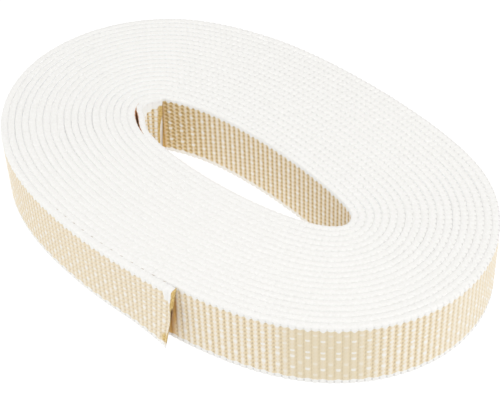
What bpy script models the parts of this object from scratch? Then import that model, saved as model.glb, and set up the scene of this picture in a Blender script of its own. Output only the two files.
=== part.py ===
"""A roll of narrow woven strap for a roller shutter, wound flat on itself into an oval.

The roll lies on the strap's lower selvage. Seen from above, the turns start at a cut end in
the hollow and run anticlockwise out to a loose end that stands a little off the roll.
The turns press on each other, so the winding is one solid: its walls are the first and the
last turn, with the steps that the two ends leave, and its top shows each turn's selvage as
a ridge. The origin is under the middle of the roll, on the surface that it lies on.
"""

import collections
import math

import bmesh
import bpy
import numpy as np

# The strap and its winding, in metres, turns and degrees.
# A direction is the way that the outside of a bend faces, anticlockwise from +X.
STRAP_WIDTH = 0.014
TURN_PITCH = 0.001405
SLACK = 0.06
SLACK_DIRECTION = 130.0
INNER_END_DIRECTION = 132.0
OUTER_END_DIRECTION = 280.9
FULL_TURNS = 19
SELVAGE_ROUNDING = 0.0004

# The hollow's wall turns round END_RADIUS, and the bows make its long sides: each adds a
# length of wall that faces about one direction, and a wide spread makes it bulge more.
END_RADIUS = 0.0007
Bow = collections.namedtuple("Bow", "direction spread length")
BOWS = (
    Bow(direction=87.2, spread=7.4, length=0.0385),
    Bow(direction=108.1, spread=4.6, length=0.0073),
    Bow(direction=269.1, spread=34.3, length=0.0297),
    Bow(direction=273.5, spread=9.3, length=0.0318),
)

# The loose end leaves the roll over its last degrees of travel. Its lower corner stands off
# more than its upper one, and the cut slants back towards it.
LOOSE_TRAVEL = math.radians(6.0)
LOOSE_GAP_HIGH = 0.0004
LOOSE_GAP_LOW = 0.0015
CUT_SLANT = math.radians(0.7)

STATIONS_PER_TURN = 96
# Steps in which the wall of the hollow is followed round.
WALL_STEPS = 1440
WELD = 1e-6
SHARP_EDGE = math.radians(40)

SELVAGE_WHITE = (0.90, 0.90, 0.87, 1)
WOVEN_BEIGE = (0.76, 0.64, 0.47, 1)
CLOTH_ROUGHNESS = 0.85


def clear_scene():
    for thing in list(bpy.data.objects):
        bpy.data.objects.remove(thing, do_unlink=True)


def hollow_wall():
    """The directions round the hollow, and the points of its wall that face them."""
    step = 2 * math.pi / WALL_STEPS
    facing = np.arange(WALL_STEPS + 1) * step
    radius = np.full(WALL_STEPS + 1, END_RADIUS)
    for bow in BOWS:
        spread = math.radians(bow.spread)
        off = (facing - math.radians(bow.direction) + math.pi) % (2 * math.pi) - math.pi
        radius += bow.length * np.exp(-0.5 * (off / spread) ** 2) / (spread * math.sqrt(2 * math.pi))
    # The two sides are not quite equal, so what they miss each other by is spread all round.
    miss_x = np.sum(-radius[:-1] * np.sin(facing[:-1])) * step / math.pi
    miss_y = np.sum(radius[:-1] * np.cos(facing[:-1])) * step / math.pi
    radius += miss_x * np.sin(facing) - miss_y * np.cos(facing)
    middle = facing[:-1] + step / 2
    length = (radius[:-1] + radius[1:]) / 2 * step
    x = np.concatenate([[0], np.cumsum(-length * np.sin(middle))])
    y = np.concatenate([[0], np.cumsum(length * np.cos(middle))])
    return facing, x, y


FACING, WALL_X, WALL_Y = hollow_wall()


def turn_pitch(angle):
    return TURN_PITCH * (1 + SLACK * math.cos(angle - math.radians(SLACK_DIRECTION)))


def pitch_slope(angle):
    return -TURN_PITCH * SLACK * math.sin(angle - math.radians(SLACK_DIRECTION))


def spot(angle, turns):
    """The point that faces this angle, this many turns out from the hollow's wall."""
    round_angle = angle % (2 * math.pi)
    x = np.interp(round_angle, FACING, WALL_X)
    y = np.interp(round_angle, FACING, WALL_Y)
    out = turns * turn_pitch(angle)
    along = turns * pitch_slope(angle)
    x += out * math.cos(angle) - along * math.sin(angle)
    y += out * math.sin(angle) + along * math.cos(angle)
    return x, y


def stations_of_one_turn():
    """How far round each station of a turn is from the inner end, even along the middle turn."""
    start = math.radians(INNER_END_DIRECTION)
    travel = np.linspace(0, 2 * math.pi, WALL_STEPS + 1)
    points = np.array([spot(start + angle, FULL_TURNS / 2) for angle in travel])
    lengths = np.hypot(*np.diff(points, axis=0).T)
    travelled = np.concatenate([[0], np.cumsum(lengths)])
    even = np.linspace(0, travelled[-1], STATIONS_PER_TURN + 1)[:-1]
    return np.interp(even, travelled, travel)


def stations_of_roll():
    """The angle that the strap has turned through at each station, from end to end."""
    one_turn = stations_of_one_turn()
    turns = [one_turn + 2 * math.pi * turn for turn in range(FULL_TURNS + 1)]
    travel = np.concatenate(turns)
    sweep = math.radians(OUTER_END_DIRECTION - INNER_END_DIRECTION)
    end = 2 * math.pi * FULL_TURNS + sweep
    last = int(np.argmin(np.abs(travel - end)))
    travel[last] = end
    return travel[: last + 1]


TRAVEL = stations_of_roll()


def strap_spot(station, across, high):
    """A point of the strap: across is 0 at its inner side, 1 at its outer side."""
    travel = TRAVEL[station]
    loose = max(0.0, 1 - (TRAVEL[-1] - travel) / LOOSE_TRAVEL)
    if high:
        stand_off = LOOSE_GAP_HIGH * loose**1.5
    else:
        stand_off = LOOSE_GAP_LOW * loose**1.5
        travel -= CUT_SLANT * loose
    angle = travel + math.radians(INNER_END_DIRECTION)
    x, y = spot(angle, travel / (2 * math.pi) + across)
    return x + stand_off * math.cos(angle), y + stand_off * math.sin(angle)


def wound_top(mesh):
    """The top of the roll: a long grid, wound up, with each turn joined to the next."""
    station_layer = mesh.verts.layers.int.new("station")
    across_layer = mesh.verts.layers.float.new("across")
    steps = len(TRAVEL) - 1
    bmesh.ops.create_grid(mesh, x_segments=steps, y_segments=2, size=1)
    for vertex in mesh.verts:
        station = round((vertex.co.x + 1) / 2 * steps)
        across = round(vertex.co.y + 1) / 2
        ridge = 1 - abs(2 * across - 1)
        z = STRAP_WIDTH - SELVAGE_ROUNDING * (1 - ridge)
        vertex.co = (*strap_spot(station, across, high=True), z)
        vertex[station_layer] = station
        vertex[across_layer] = across
    bmesh.ops.remove_doubles(mesh, verts=mesh.verts, dist=WELD)
    return station_layer, across_layer


def walls_and_base(mesh, station_layer, across_layer):
    """The walls go down from the top's open edges to the flat base."""
    rim = [edge for edge in mesh.edges if edge.is_boundary]
    walls = bmesh.ops.extrude_edge_only(mesh, edges=rim)["geom"]
    for vertex in walls:
        if isinstance(vertex, bmesh.types.BMVert):
            low = strap_spot(vertex[station_layer], vertex[across_layer], high=False)
            vertex.co = (*low, 0)
    for wall in walls:
        if isinstance(wall, bmesh.types.BMFace):
            wall.material_index = 1
    foot = [edge for edge in mesh.edges if edge.is_boundary]
    bmesh.ops.triangle_fill(mesh, use_beauty=True, edges=foot, normal=(0, 0, -1))
    bmesh.ops.recalc_face_normals(mesh, faces=mesh.faces)


def centre_on_origin(mesh):
    """Puts the origin under the middle of the roll's box."""
    for axis in (0, 1):
        reach = [vertex.co[axis] for vertex in mesh.verts]
        middle = (min(reach) + max(reach)) / 2
        for vertex in mesh.verts:
            vertex.co[axis] -= middle


def cloth_material(name, colour):
    material = bpy.data.materials.new(name)
    material.use_nodes = True
    surface = material.node_tree.nodes["Principled BSDF"]
    surface.inputs["Base Color"].default_value = colour
    surface.inputs["Roughness"].default_value = CLOTH_ROUGHNESS
    surface.inputs["Metallic"].default_value = 0
    return material


def build_wound_strap(collection):
    mesh = bmesh.new()
    station_layer, across_layer = wound_top(mesh)
    walls_and_base(mesh, station_layer, across_layer)
    centre_on_origin(mesh)
    data = bpy.data.meshes.new("wound_strap")
    mesh.to_mesh(data)
    mesh.free()
    data.materials.append(cloth_material("strap_selvage", SELVAGE_WHITE))
    data.materials.append(cloth_material("strap_face", WOVEN_BEIGE))
    data.shade_smooth()
    data.set_sharp_from_angle(angle=SHARP_EDGE)
    strap = bpy.data.objects.new("wound_strap", data)
    collection.objects.link(strap)
    return strap


clear_scene()
roll = bpy.data.collections.new("roller_shutter_strap_roll")
bpy.context.scene.collection.children.link(roll)
build_wound_strap(roll)
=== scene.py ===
import math

import bmesh
import bpy
import numpy as np
from mathutils import Matrix, Vector


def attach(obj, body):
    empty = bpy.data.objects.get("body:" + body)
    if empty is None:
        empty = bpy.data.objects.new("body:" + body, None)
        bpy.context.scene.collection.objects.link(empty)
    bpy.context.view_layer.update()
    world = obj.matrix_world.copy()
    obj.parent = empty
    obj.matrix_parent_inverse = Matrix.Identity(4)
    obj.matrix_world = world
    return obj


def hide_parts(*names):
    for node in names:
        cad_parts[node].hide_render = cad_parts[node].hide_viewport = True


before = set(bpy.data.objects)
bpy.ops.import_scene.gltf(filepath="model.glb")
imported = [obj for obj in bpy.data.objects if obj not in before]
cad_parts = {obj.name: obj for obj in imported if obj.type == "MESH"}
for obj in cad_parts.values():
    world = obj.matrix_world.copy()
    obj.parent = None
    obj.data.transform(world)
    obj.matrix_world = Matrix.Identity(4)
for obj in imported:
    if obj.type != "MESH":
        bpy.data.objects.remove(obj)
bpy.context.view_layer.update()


# The innermost turn of the strap, which lines the hollow. The strap is woven in one piece from
# beige and white polyester, 14 mm wide, with plain white selvages, and heat-sealed where it is
# cut. It is wound up flat on itself, and lies on its lower selvage.
STRAP_WIDTH = 0.014
TURN_PITCH = 0.001405
SLACK = 0.06
SLACK_DIRECTION = math.radians(130.0)
INNER_END_DIRECTION = math.radians(132.0)
OUTER_END_DIRECTION = math.radians(280.9)
FULL_TURNS = 19
END_RADIUS = 0.0007
# Each long side of the hollow: the direction that it faces, its spread and its length.
BOWS = ((87.2, 7.4, 0.0385), (108.1, 4.6, 0.0073), (269.1, 34.3, 0.0297), (273.5, 9.3, 0.0318))
TURN = 2 * math.pi
STEPS_ROUND = 1440


def hollow_wall():
    """The directions round the hollow, and the points of its wall that face them."""
    step = TURN / STEPS_ROUND
    facing = np.arange(STEPS_ROUND + 1) * step
    radius = np.full(STEPS_ROUND + 1, END_RADIUS)
    for direction, spread, length in BOWS:
        wide = math.radians(spread)
        off = (facing - math.radians(direction) + math.pi) % TURN - math.pi
        radius += length * np.exp(-0.5 * (off / wide) ** 2) / (wide * math.sqrt(TURN))
    # The two sides are not quite equal, so what they miss each other by is spread all round.
    miss_x = np.sum(-radius[:-1] * np.sin(facing[:-1])) * step / math.pi
    miss_y = np.sum(radius[:-1] * np.cos(facing[:-1])) * step / math.pi
    radius += miss_x * np.sin(facing) - miss_y * np.cos(facing)
    middle = facing[:-1] + step / 2
    run = (radius[:-1] + radius[1:]) / 2 * step
    x = np.concatenate([[0], np.cumsum(-run * np.sin(middle))])
    y = np.concatenate([[0], np.cumsum(run * np.cos(middle))])
    return facing, x, y


FACING, WALL_X, WALL_Y = hollow_wall()


def turn_pitch(angle):
    return TURN_PITCH * (1 + SLACK * np.cos(angle - SLACK_DIRECTION))


def wound(angle, turns):
    """Where a thread runs that faces this angle, this many turns out from the hollow."""
    x = np.interp(angle % TURN, FACING, WALL_X)
    y = np.interp(angle % TURN, FACING, WALL_Y)
    out = turns * turn_pitch(angle)
    along = -turns * TURN_PITCH * SLACK * np.sin(angle - SLACK_DIRECTION)
    x = x + out * np.cos(angle) - along * np.sin(angle)
    y = y + out * np.sin(angle) + along * np.cos(angle)
    return x, y


def wobble(travel, pace):
    """A slow wave without a period, between -1 and 1, as the hand winds unevenly."""
    slow = np.sin(pace * travel) + np.sin(1.71 * pace * travel + 1.3)
    return (slow + np.sin(2.63 * pace * travel + 4.1)) / 3


# The strap is measured along its middle. A pick is one weft thread. The turns nest, so each
# takes the same number of picks more than the last, give or take.
PICK = 0.0013
NESTING = 0.105
PICK_DRIFT = 0.22
PICK_DRIFT_PACE = 0.9
END_TRAVEL = TURN * FULL_TURNS + OUTER_END_DIRECTION - INNER_END_DIRECTION
TRAVELS = np.linspace(0, END_TRAVEL, FULL_TURNS * STEPS_ROUND)
middle_x, middle_y = wound(TRAVELS + INNER_END_DIRECTION, TRAVELS / TURN + 0.5)
LENGTHS = np.concatenate([[0], np.cumsum(np.hypot(np.diff(middle_x), np.diff(middle_y)))])
STRAP_LENGTH = LENGTHS[-1]

# The fraction of the last pick is where the loose end's cut falls between two weft threads.
LAST_PICK = 3047.125
FACE_STEPS_PER_PICK = 8
turns_out = TRAVELS / TURN
nested = LENGTHS / PICK + NESTING * turns_out**2 + PICK_DRIFT * wobble(TRAVELS, PICK_DRIFT_PACE)
PICK_AT = nested - nested[-1] + LAST_PICK
FIRST_PICK = math.ceil(PICK_AT[0] * FACE_STEPS_PER_PICK) / FACE_STEPS_PER_PICK

# The frame's origin is under the middle of the roll's box.
outline = wound(TRAVELS + INNER_END_DIRECTION, TRAVELS / TURN + 1)
MIDDLE_X = (outline[0].min() + outline[0].max()) / 2
MIDDLE_Y = (outline[1].min() + outline[1].max()) / 2

# The loose end stands off the roll, more at its lower corner, and its cut slants.
LOOSE_TRAVEL = math.radians(6.0)
LOOSE_CURVE = 1.5
LOOSE_GAP_HIGH = 0.0004
LOOSE_GAP_LOW = 0.0015
CUT_SLANT = math.radians(0.7)
MELTED_REACH = 0.003
MELTED_BULGE = 0.00030
MELTED_DENT = 0.00014
MELTED_DRAW = 0.0005
# The inner end springs away from the turn round it where the strap bends sharpest.
SPRUNG_AT = 0.0078
SPRUNG_GAP = 0.00074
SPRUNG_BEFORE = 0.0022
SPRUNG_AFTER = 0.0037
INNER_CUT_SLANT = 0.0010
INNER_SLANT_REACH = 0.003
INNER_CUT_BEVEL = 0.0005
INNER_BEVEL_REACH = 0.0008


def hump(value, centre, width):
    """A smooth hump, 1 at its centre."""
    return np.exp(-(((value - centre) / width) ** 2))


def strap_place(travel, outward, height):
    """Puts points of the flat strap in the roll: outward is their distance from its middle."""
    low = 1 - height / STRAP_WIDTH
    along = np.interp(travel, TRAVELS, LENGTHS)
    loose = np.clip(1 - (END_TRAVEL - travel) / LOOSE_TRAVEL, 0, 1)
    travel = travel - CUT_SLANT * loose * low
    stand_off = (LOOSE_GAP_HIGH + (LOOSE_GAP_LOW - LOOSE_GAP_HIGH) * low) * loose**LOOSE_CURVE
    spread = np.where(along < SPRUNG_AT, SPRUNG_BEFORE, SPRUNG_AFTER)
    stand_off = stand_off - SPRUNG_GAP * hump(along, SPRUNG_AT, spread)
    # The inner cut leans back, and the cut edge of the loose end was melted unevenly.
    lean = INNER_CUT_SLANT * (1 - low) * np.exp(-along / INNER_SLANT_REACH)
    bevel = INNER_CUT_BEVEL * np.clip(low * 3 - 0.6, 0, 1) * (outward < 0)
    lean = lean - bevel * np.exp(-along / INNER_BEVEL_REACH)
    to_cut = np.clip(1 - (STRAP_LENGTH - along) / MELTED_REACH, 0, 1) ** 2
    cut_wave = MELTED_BULGE * hump(low, 0.52, 0.17) - MELTED_DRAW * low**2
    cut_wave = cut_wave - MELTED_DENT * hump(low, 0.23, 0.09)
    angle = travel + INNER_END_DIRECTION
    x, y = wound(angle, travel / TURN + 0.5)
    reach = outward + stand_off
    ahead = cut_wave * to_cut - lean
    x = x + reach * np.cos(angle) - ahead * np.sin(angle)
    y = y + reach * np.sin(angle) + ahead * np.cos(angle)
    return x - MIDDLE_X, y - MIDDLE_Y


SELVAGE_ROUND = 0.00040
SELVAGE_STEPS = 6
NOTCH_DEPTH = 0.00017
NOTCH_PINCH = 0.17
NOTCH_SLANT = 0.12
NOTCH_WIDTH = 0.2
NOTCH_UNEVEN = 0.3
RIB_DEPTH = 0.00030
RIB_ARCH = 1.9
RIB_FADE = 0.0008
PEBBLE = 0.00005
PEBBLE_PITCH = 0.00093
OVERLAP = 0.00030
END_SLACK = 0.00023
END_SLACK_PACE = 1.7
SEAL_REACH = 0.0012
SEAL_THIN_INNER = 0.45
SEAL_THIN_OUTER = 0.85
WELD = 1e-6


def along_side(angle, direction, spread, power):
    """How much a direction belongs to one side of the roll, from 0 to 1."""
    off = (angle - math.radians(direction) + math.pi) % TURN - math.pi
    return np.exp(-((off / math.radians(spread)) ** power))


def section(rows_out, rows_in):
    """The strap's outline across: up its outer face, over, down its inner face and under."""
    over = np.linspace(0, math.pi, SELVAGE_STEPS + 1)
    aside = np.sign(np.cos(over)) * np.sqrt(np.abs(np.cos(over)))
    crown = np.sqrt(np.abs(np.sin(over)))
    high = STRAP_WIDTH - SELVAGE_ROUND
    rise_out = np.linspace(SELVAGE_ROUND, high, rows_out + 1)[:-1]
    rise_in = np.linspace(high, SELVAGE_ROUND, rows_in + 1)[:-1]
    outward = np.concatenate([np.ones(rows_out), aside[:-1], -np.ones(rows_in), -aside])
    height = np.concatenate([rise_out, high + SELVAGE_ROUND * crown[:-1],
                             rise_in, SELVAGE_ROUND * (1 - crown)])
    return outward, height


rng = np.random.default_rng(14)
PICK_UNEVEN = rng.uniform(-1, 1, int(LAST_PICK) + 3)


def woven_strap(name, first_pick, last_pick, per_pick, rows_out=1, rows_in=1):
    """A length of the strap as a closed tube, from one pick to another."""
    ring_out, ring_high = section(rows_out, rows_in)
    steps = round((last_pick - first_pick) * per_pick)
    rings = len(ring_out) - 1
    mesh = bmesh.new()
    weave = mesh.verts.layers.float_vector.new("weave")
    bmesh.ops.create_grid(mesh, x_segments=steps, y_segments=rings, size=1)
    grid = np.array([vertex.co[:2] for vertex in mesh.verts])
    station = np.rint((grid[:, 0] + 1) / 2 * steps).astype(int)
    ring = np.rint((grid[:, 1] + 1) / 2 * rings).astype(int)
    pick = first_pick + station / per_pick
    across = ring_out[ring]
    height = ring_high[ring]
    from_edge = np.minimum(height, STRAP_WIDTH - height)
    travel = np.interp(pick, PICK_AT, TRAVELS)

    # The turns press on each other, and part a little where they bend sharply.
    angle = travel + INNER_END_DIRECTION
    far = along_side(angle, 97, 24, 4)
    near = along_side(angle, 279, 12, 2)
    slack = END_SLACK * (1 - far) * (1 - near) * (0.8 + 0.2 * wobble(travel, END_SLACK_PACE))
    slack = slack * (1.15 - 0.2 * np.cos(angle))
    turns = travel / TURN
    pressed = OVERLAP * np.clip((turns - 1) * 20, 0, 1) - slack * np.clip((turns - 1.3) * 10, 0, 1)
    thickness = turn_pitch(angle) + pressed

    # Each pick draws the selvage in, and the face swells over it.
    slanted = pick + 0.5 + NOTCH_SLANT * across
    from_pick = slanted - np.rint(slanted)
    uneven = PICK_UNEVEN[np.rint(slanted).astype(int)]
    notch = hump(from_pick, 0, NOTCH_WIDTH) * (1 + NOTCH_UNEVEN * uneven) * (0.5 + 0.5 * far)
    edge = np.clip(1 - from_edge / (3 * SELVAGE_ROUND), 0, 1)
    lower = NOTCH_DEPTH * notch * edge * (0.6 + 0.4 * across**2)
    lower = lower * (from_edge < SELVAGE_ROUND * 1.01)
    high = np.where(height > STRAP_WIDTH / 2, height - lower, height + lower)
    half = thickness / 2 * (1 - NOTCH_PINCH * notch * edge)
    from_crest = pick - np.rint(pick)
    arch = np.sqrt(1 - (RIB_ARCH * from_crest) ** 2)
    inside = np.clip((from_edge - SELVAGE_ROUND) / RIB_FADE, 0, 1)
    ribbed = np.where(across > 0, rows_out > 1, rows_in > 1) * inside
    stagger = np.cos(math.pi * pick) * np.cos(TURN * (height - STRAP_WIDTH / 2) / PEBBLE_PITCH)
    half = half - (RIB_DEPTH * (1 - arch) + PEBBLE * (1 - stagger * across)) * ribbed

    # The cut ends are pressed thin as they are sealed.
    low = 1 - height / STRAP_WIDTH
    along = np.interp(travel, TRAVELS, LENGTHS)
    low_corner = np.clip(low * 3 - 1.9, 0, SEAL_THIN_OUTER)
    thin_out = np.exp(-(STRAP_LENGTH - along) / SEAL_REACH) * low_corner
    thin_in = np.exp(-along / SEAL_REACH) * SEAL_THIN_INNER
    outward = half - half * (1 - across) * (1 - thin_out - thin_in) - pressed / 2
    x, y = strap_place(travel, outward, high)
    for vertex, px, py, pz, s, n, w in zip(mesh.verts, x, y, high, pick, across, height):
        vertex.co = (px, py, pz)
        vertex[weave] = (s, w * 1000, n)
    bmesh.ops.remove_doubles(mesh, verts=mesh.verts, dist=WELD)
    rims = [edge for edge in mesh.edges if edge.is_boundary]
    bmesh.ops.holes_fill(mesh, edges=rims, sides=0)
    bmesh.ops.recalc_face_normals(mesh, faces=mesh.faces)
    data = bpy.data.meshes.new(name)
    mesh.to_mesh(data)
    mesh.free()
    data.shade_smooth()
    piece = bpy.data.objects.new(name, data)
    bpy.context.scene.collection.objects.link(piece)
    return piece


class Thread:
    """A value that varies over the cloth, on which sums are written as Python."""

    def __init__(self, tree, socket):
        self.tree = tree
        self.socket = socket

    def node(self, kind, settings, inputs, output=0):
        made = self.tree.nodes.new(kind)
        for name, value in settings.items():
            setattr(made, name, value)
        for name, value in inputs.items():
            if isinstance(value, Thread):
                self.tree.links.new(value.socket, made.inputs[name])
            else:
                made.inputs[name].default_value = value
        return Thread(self.tree, made.outputs[output])

    def maths(self, operation, *values):
        return self.node("ShaderNodeMath", {"operation": operation}, dict(enumerate(values)))

    def __add__(self, other):
        return self.maths("ADD", self, other)

    def __sub__(self, other):
        return self.maths("SUBTRACT", self, other)

    def __rsub__(self, other):
        return self.maths("SUBTRACT", other, self)

    def __mul__(self, other):
        return self.maths("MULTIPLY", self, other)

    __radd__ = __add__
    __rmul__ = __mul__

    def cosine(self):
        return self.maths("COSINE", self)

    def distance(self, centre):
        """How far the value is from a centre, on either side."""
        off = self - centre
        return off.maths("ABSOLUTE", off)

    def between(self, low, high):
        """0 below low, 1 above high, and smooth between."""
        settings = {"interpolation_type": "SMOOTHSTEP"}
        limits = {"Value": self, "From Min": low, "From Max": high}
        return self.node("ShaderNodeMapRange", settings, limits)

    def below(self, low, high):
        """1 below low, 0 above high, and smooth between."""
        return 1 - self.between(low, high)

    def axis(self, number):
        """One of the three numbers of a vector."""
        return self.node("ShaderNodeSeparateXYZ", {}, {0: self}, number)


# Colours of the yarns and of the polyester where a hot knife has cut and sealed it, and colours
# painted as light and shade: the lit white, the pit grey, the browns of gaps and shaded faces, and
# the pale beiges.
BEIGE = (0.76, 0.61, 0.36, 1)
BROWN = (0.50, 0.34, 0.13, 1)
CREAM = (0.88, 0.83, 0.74, 1)
WHITE = (0.89, 0.88, 0.86, 1)
GREY_WHITE = (0.86, 0.85, 0.82, 1)
LIT_WHITE = (0.93, 0.95, 0.97, 1)
PIT_SHADE_GREY = (0.55, 0.54, 0.52, 1)
GAP_SHADE_BROWN = (0.60, 0.28, 0.07, 1)
SHADED_BROWN = (0.70, 0.42, 0.11, 1)
DASH_SHADE_BROWN = (0.42, 0.34, 0.24, 1)
LEVEL_BEIGE = (0.75, 0.65, 0.46, 1)
PALE_BEIGE = (0.84, 0.76, 0.62, 1)
SEALED = (0.56, 0.37, 0.11, 1)
SEALED_PALE = (0.76, 0.57, 0.24, 1)
CUT_MIDDLE_DARK = (0.14, 0.06, 0.015, 1)
CLOTH_ROUGHNESS = 0.75
CLOTH_SPECULAR = 0.3
CLOTH_SHEEN = 0.2

# The pattern across the strap, in millimetres.
HALF_WIDTH = 7.0
STROKE_PITCH = 0.97
WHITE_ROW_START = 0.7
WHITE_ROW_PITCH = 2.8
SELVAGE_FROM = (5.85, 6.05)
GRAIN_SCALE = 2600.0

# Where the zones of painted sheen and painted shade on the face lie, in picks before the loose
# end, and where the inner end's gap is.
LEVEL_ZONE = 200.6
PALE_ZONE = 176.0
SHADED_ZONE = 224.0
BEHIND_END = float(np.interp(TURN, TRAVELS, PICK_AT))
SPRUNG_PICK = float(np.interp(np.interp(SPRUNG_AT, LENGTHS, TRAVELS) + TURN, TRAVELS, PICK_AT))
SPRUNG_FROM_FIRST = float(np.interp(SPRUNG_AT, LENGTHS, PICK_AT)) - FIRST_PICK
# The stretch of the roll, in metres across it, that lies behind the hollow.
BEHIND_HOLLOW = (-0.015, 0.015)


def mix(factor, one, other):
    return factor.node("ShaderNodeMix", {"data_type": "RGBA"}, {0: factor, 6: one, 7: other}, 2)


def woven_material():
    """The cloth's look, drawn from each point's pick, height in millimetres, and side."""
    material = bpy.data.materials.new("woven_strap")
    material.use_nodes = True
    tree = material.node_tree
    surface = tree.nodes["Principled BSDF"]
    attribute = {"attribute_name": "weave"}
    weave = Thread(tree, None).node("ShaderNodeAttribute", attribute, {}, 1)
    place = weave.node("ShaderNodeTexCoord", {}, {}, 3)
    picks = weave.axis(0)
    height = weave.axis(1)
    across = weave.axis(2)
    from_middle = height.distance(HALF_WIDTH)
    from_first = picks - FIRST_PICK
    from_last = LAST_PICK - picks
    outer = across.between(-0.2, 0.2)
    inner = 1 - outer
    upper = height.between(7.0, 8.0)

    # The ribs of the picks, the slanting strokes of the warp, and white threads in rows. Cream on
    # the crests and brown in the valleys are partly the beige and white yarns and partly a painted
    # sheen on the crests and painted shade in the valleys; the inner face is painted with stronger
    # strokes and more cream, for the grazing light in the hollow.
    crest = (picks * TURN).cosine()
    pair = (picks * math.pi).cosine() * (outer * 2 - 1)
    strokes = (picks * math.pi - height * (TURN / STROKE_PITCH)).cosine()
    rows = ((from_middle - WHITE_ROW_START) * (TURN / WHITE_ROW_PITCH)).cosine()
    bright = rows.between(0.7, 0.95) * pair.between(0.3, 0.85)
    faint = (0 - rows).between(0.7, 0.95) * (0 - pair).between(0.3, 0.85)
    slacker = from_last.below(20.0, 45.0) * outer
    strokes = strokes * (1 - outer * 0.4 + slacker * 0.5)
    # Painted shade: the inner face's stretch behind the inner end is painted browner.
    behind = (picks - BEHIND_END).between(-12.0, 0.0) * inner * 0.95
    ribs = crest * (outer * 0.2 + 0.8 - slacker * 0.4) - behind + inner * 0.35
    colour = mix((ribs + strokes * 0.9).between(-0.5, 0.9), BEIGE, CREAM)
    colour = mix((strokes * 1.2 - ribs + inner * 0.3).between(0.4, 1.9), colour, BROWN)

    # Painted light on the outer face: it is painted paler than the inner face, for the stronger
    # light on it, and paler still near the loose end and in one zone of painted sheen. One zone is
    # left more even, without the painted sheen of the crests.
    paler = picks.distance(LAST_PICK - PALE_ZONE).below(4.0, 12.0)
    level = picks.distance(LAST_PICK - LEVEL_ZONE).below(3.0, 8.5)
    colour = mix(outer * (0.36 + paler * 0.25 + slacker * 0.16), colour, PALE_BEIGE)
    colour = mix(level * 0.8, colour, LEVEL_BEIGE)
    colour = mix(bright * (0.95 - outer * 0.2) + faint * 0.35, colour, WHITE)

    # Painted shade on the face beside the loose end's edge, in that edge's shade; the first picks
    # of the inner end's face painted lighter with white zigzags, partly the weave and partly a
    # painted highlight; and painted shade on the face just behind the inner end.
    narrower = 0.7 - height.between(2.0, 9.0) * 0.7
    shaded = (picks + narrower).distance(LAST_PICK - SHADED_ZONE).below(1.5, 2.1)
    colour = mix(shaded * outer * (0.85 - crest * 0.1), colour, SHADED_BROWN)
    first_face = from_first.below(4.0, 7.0) * inner
    zigzag = (crest + strokes * 0.7).between(0.1, 1.3)
    colour = mix(first_face * zigzag * 0.8, colour, WHITE)
    close = (picks - BEHIND_END).between(-1.4, -0.2) * inner * height.below(12.5, 13.0)
    colour = mix(close * 0.7, colour, SHADED_BROWN)

    # The white selvages, wider at the two ends, toothed where the picks turn round in them.
    wider = 0.95 + from_first.between(0.5, 3.0) - from_first.between(3.5, 8.0) * 1.95
    wider = wider + from_last.below(0.4, 1.8) * 1.8
    toothed = (pair + crest) * 0.12 + pair * slacker * 0.1
    selvage = from_middle + wider * upper + toothed
    grain = place.node("ShaderNodeTexNoise", {}, {"Vector": place, "Scale": GRAIN_SCALE}, 0)
    white = mix(grain.between(0.3, 0.7), WHITE, GREY_WHITE)
    # A painted highlight: the upper selvage on the inner side is painted a brighter, cooler white,
    # against the shade that falls on it in the hollow.
    white = mix(upper * across.below(-1.0, -0.85), white, LIT_WHITE)
    colour = mix(selvage.between(*SELVAGE_FROM), colour, white)

    # Painted shade in the pits between the picks: grey on top of the selvages and where they meet
    # the face, strongest on the top behind the hollow.
    between_picks = (0 - crest).between(0.45, 1.0)
    on_top = from_middle.between(6.55, 6.7)
    behind_hollow = place.axis(1).between(*BEHIND_HOLLOW)
    pits = on_top * across.between(0.3, 0.8) * (behind_hollow * 0.45 + 0.03)
    on_face = from_middle.between(6.1, 6.25) * from_middle.below(6.55, 6.75)
    on_face = on_face * (upper * 0.15 + outer * (0.6 - upper * 0.4) * from_last.between(1.5, 3.0))
    colour = mix(between_picks * (pits + on_face), colour, PIT_SHADE_GREY)

    # Painted shade: the sides of the inner end's gap painted deep brown where shade falls in the
    # gap, and brown dashes in the gap along the loose end's top, the weave darkened as painted
    # shade.
    gap_wall = picks.distance(SPRUNG_PICK).below(4.0, 5.0) * across.below(-0.8, -0.6)
    gap_back = from_first.distance(SPRUNG_FROM_FIRST).below(3.5, 5.0) * across.between(0.6, 0.8)
    colour = mix((gap_wall + gap_back) * height.below(13.85, 13.95), colour, GAP_SHADE_BROWN)
    dashes = (crest + pair * 0.6).between(0.2, 0.9) * from_last.below(22.0, 28.0)
    dashes = dashes * height.between(13.5, 13.7) * across.below(-0.75, -0.6) * 0.7
    colour = mix(dashes, colour, DASH_SHADE_BROWN)

    # The sealed edges, the darker middle of the loose end's cut, and the inner cut's face.
    tip = height.between(1.1, 1.7) * height.below(2.8, 4.0) * from_last.below(0.8, 1.9)
    sealed = from_last.below(0.0, 0.12) * height.between(0.9, 1.5)
    sealed = sealed.maths("MAXIMUM", sealed, tip)
    sealed = sealed + from_first.below(0.25, 0.7) * height.below(12.2, 12.6)
    colour = mix(sealed, colour, mix(grain.between(0.35, 0.65), SEALED, SEALED_PALE))
    cut_middle_dark = height.between(3.6, 5.0) * height.below(9.0, 10.2) * across.below(0.75, 0.95)
    colour = mix(cut_middle_dark * from_last.below(0.0, 0.05), colour, CUT_MIDDLE_DARK)
    cut_face = from_first.below(0.0, 0.03) * height.below(8.0, 10.0)
    colour = mix(cut_face, colour, WHITE)

    tree.links.new(colour.socket, surface.inputs["Base Color"])
    surface.inputs["Roughness"].default_value = CLOTH_ROUGHNESS
    surface.inputs["Specular IOR Level"].default_value = CLOTH_SPECULAR
    surface.inputs["Sheen Weight"].default_value = CLOTH_SHEEN
    return material


WOVEN = woven_material()
FACE_ROWS = 28
INNER_TURN_END = int(np.interp(TURN, TRAVELS, PICK_AT)) + 3


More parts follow.
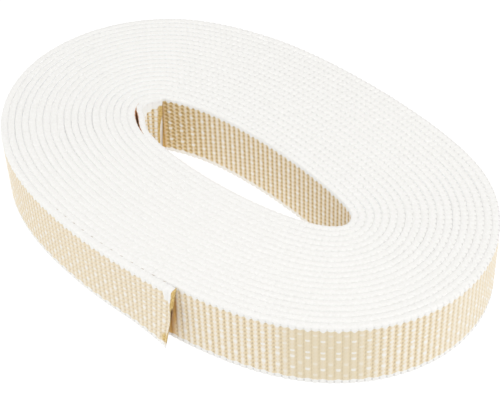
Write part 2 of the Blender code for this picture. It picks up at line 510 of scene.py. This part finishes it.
def laid_strap(piece):
    """Gives a length of the strap its cloth, hangs it on the root body and hides the model's wound
    strap.
    """
    piece.data.materials.append(WOVEN)
    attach(piece, "root")
    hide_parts("wound_strap")


inner_turn = woven_strap("strap_inner_turn", FIRST_PICK, INNER_TURN_END, FACE_STEPS_PER_PICK,
                         rows_in=FACE_ROWS)
laid_strap(inner_turn)


# The turns between, lengths of the same woven polyester strap. Each turn lies tight on the one
# before, so only the white selvages show, as ridges side by side, and the faces stay plain.
MIDDLE_LENGTHS = 4
MIDDLE_STEPS_PER_PICK = 6
OUTER_TURN_START = int(np.interp(END_TRAVEL - TURN, TRAVELS, PICK_AT)) - 4
joins = np.linspace(INNER_TURN_END, OUTER_TURN_START, MIDDLE_LENGTHS + 1).astype(int)
for number in range(MIDDLE_LENGTHS):
    first, last = int(joins[number]), int(joins[number + 1])
    middle_turns = woven_strap(f"strap_middle_turns_{number + 1}", first, last,
                               MIDDLE_STEPS_PER_PICK)
    laid_strap(middle_turns)


# The outermost turn, the last length of the same woven polyester strap, with its face showing
# all round. Its loose end is cut and sealed with a hot knife, and stands a little off the roll.
outer_turn = woven_strap("strap_outer_turn", OUTER_TURN_START, LAST_PICK, FACE_STEPS_PER_PICK,
                         rows_out=FACE_ROWS)
laid_strap(outer_turn)


# The studio: a plain white table under the roll, which glows a little so that the ground is
# even, soft lamps and a white world all round, and the camera at the photograph's angle.
TABLE_REACH = 1.5
TABLE_DROP = 0.00002
TABLE_COLOUR = (0.2, 0.2, 0.2, 1)
TABLE_ROUGHNESS = 0.9
TABLE_GLOW = 0.87
PURE_WHITE = (1, 1, 1, 1)
table = bmesh.new()
bmesh.ops.create_grid(table, x_segments=1, y_segments=1, size=TABLE_REACH)
bmesh.ops.translate(table, verts=table.verts, vec=(0, 0, -TABLE_DROP))
table_data = bpy.data.meshes.new("table")
table.to_mesh(table_data)
table.free()
table_top = bpy.data.objects.new("table", table_data)
bpy.context.scene.collection.objects.link(table_top)
table_white = bpy.data.materials.new("table_white")
table_white.use_nodes = True
table_surface = table_white.node_tree.nodes["Principled BSDF"]
table_surface.inputs["Base Color"].default_value = TABLE_COLOUR
table_surface.inputs["Roughness"].default_value = TABLE_ROUGHNESS
table_surface.inputs["Emission Color"].default_value = PURE_WHITE
table_surface.inputs["Emission Strength"].default_value = TABLE_GLOW
table_data.materials.append(table_white)

WORLD_STRENGTH = 0.525
world = bpy.data.worlds.new("studio")
world.use_nodes = True
world.node_tree.nodes["Background"].inputs["Color"].default_value = PURE_WHITE
world.node_tree.nodes["Background"].inputs["Strength"].default_value = WORLD_STRENGTH
bpy.context.scene.world = world

# Each lamp's name, place, size and energy.
SOFTBOXES = (
    ("softbox_high", (0.28, -0.24, 0.70), 0.5, 2.1),
    ("softbox_left", (-0.45, -0.45, 0.45), 0.8, 2.0),
    ("softbox_right", (0.55, 0.35, 0.40), 0.5, 1.55),
)
for name, place, size, energy in SOFTBOXES:
    softbox = bpy.data.lights.new(name, "AREA")
    softbox.size = size
    softbox.energy = energy
    softbox_lamp = bpy.data.objects.new(name, softbox)
    softbox_lamp.location = place
    softbox_lamp.rotation_euler = Vector(place).to_track_quat("Z", "Y").to_euler()
    bpy.context.scene.collection.objects.link(softbox_lamp)

AZIMUTH = math.radians(47.0)
ELEVATION = math.radians(41.288)
DISTANCE = 0.26842
TILT = math.radians(-2.452)
AIM = Vector((-0.000421, 0.00373, 0))
SENSOR_WIDTH = 36
FOCAL_LENGTH = 97.2
NEAREST = 0.01
back = Vector((math.sin(AZIMUTH) * math.cos(ELEVATION),
               -math.cos(AZIMUTH) * math.cos(ELEVATION), math.sin(ELEVATION)))
lens = bpy.data.cameras.new("camera")
lens.sensor_width = SENSOR_WIDTH
lens.lens = FOCAL_LENGTH
lens.clip_start = NEAREST
camera = bpy.data.objects.new("camera", lens)
looking = back.to_track_quat("Z", "Y").to_matrix().to_4x4() @ Matrix.Rotation(TILT, 4, "Z")
camera.matrix_world = Matrix.Translation(AIM + back * DISTANCE) @ looking
bpy.context.scene.collection.objects.link(camera)
bpy.context.scene.camera = camera
bpy.context.scene.view_settings.view_transform = "Standard"
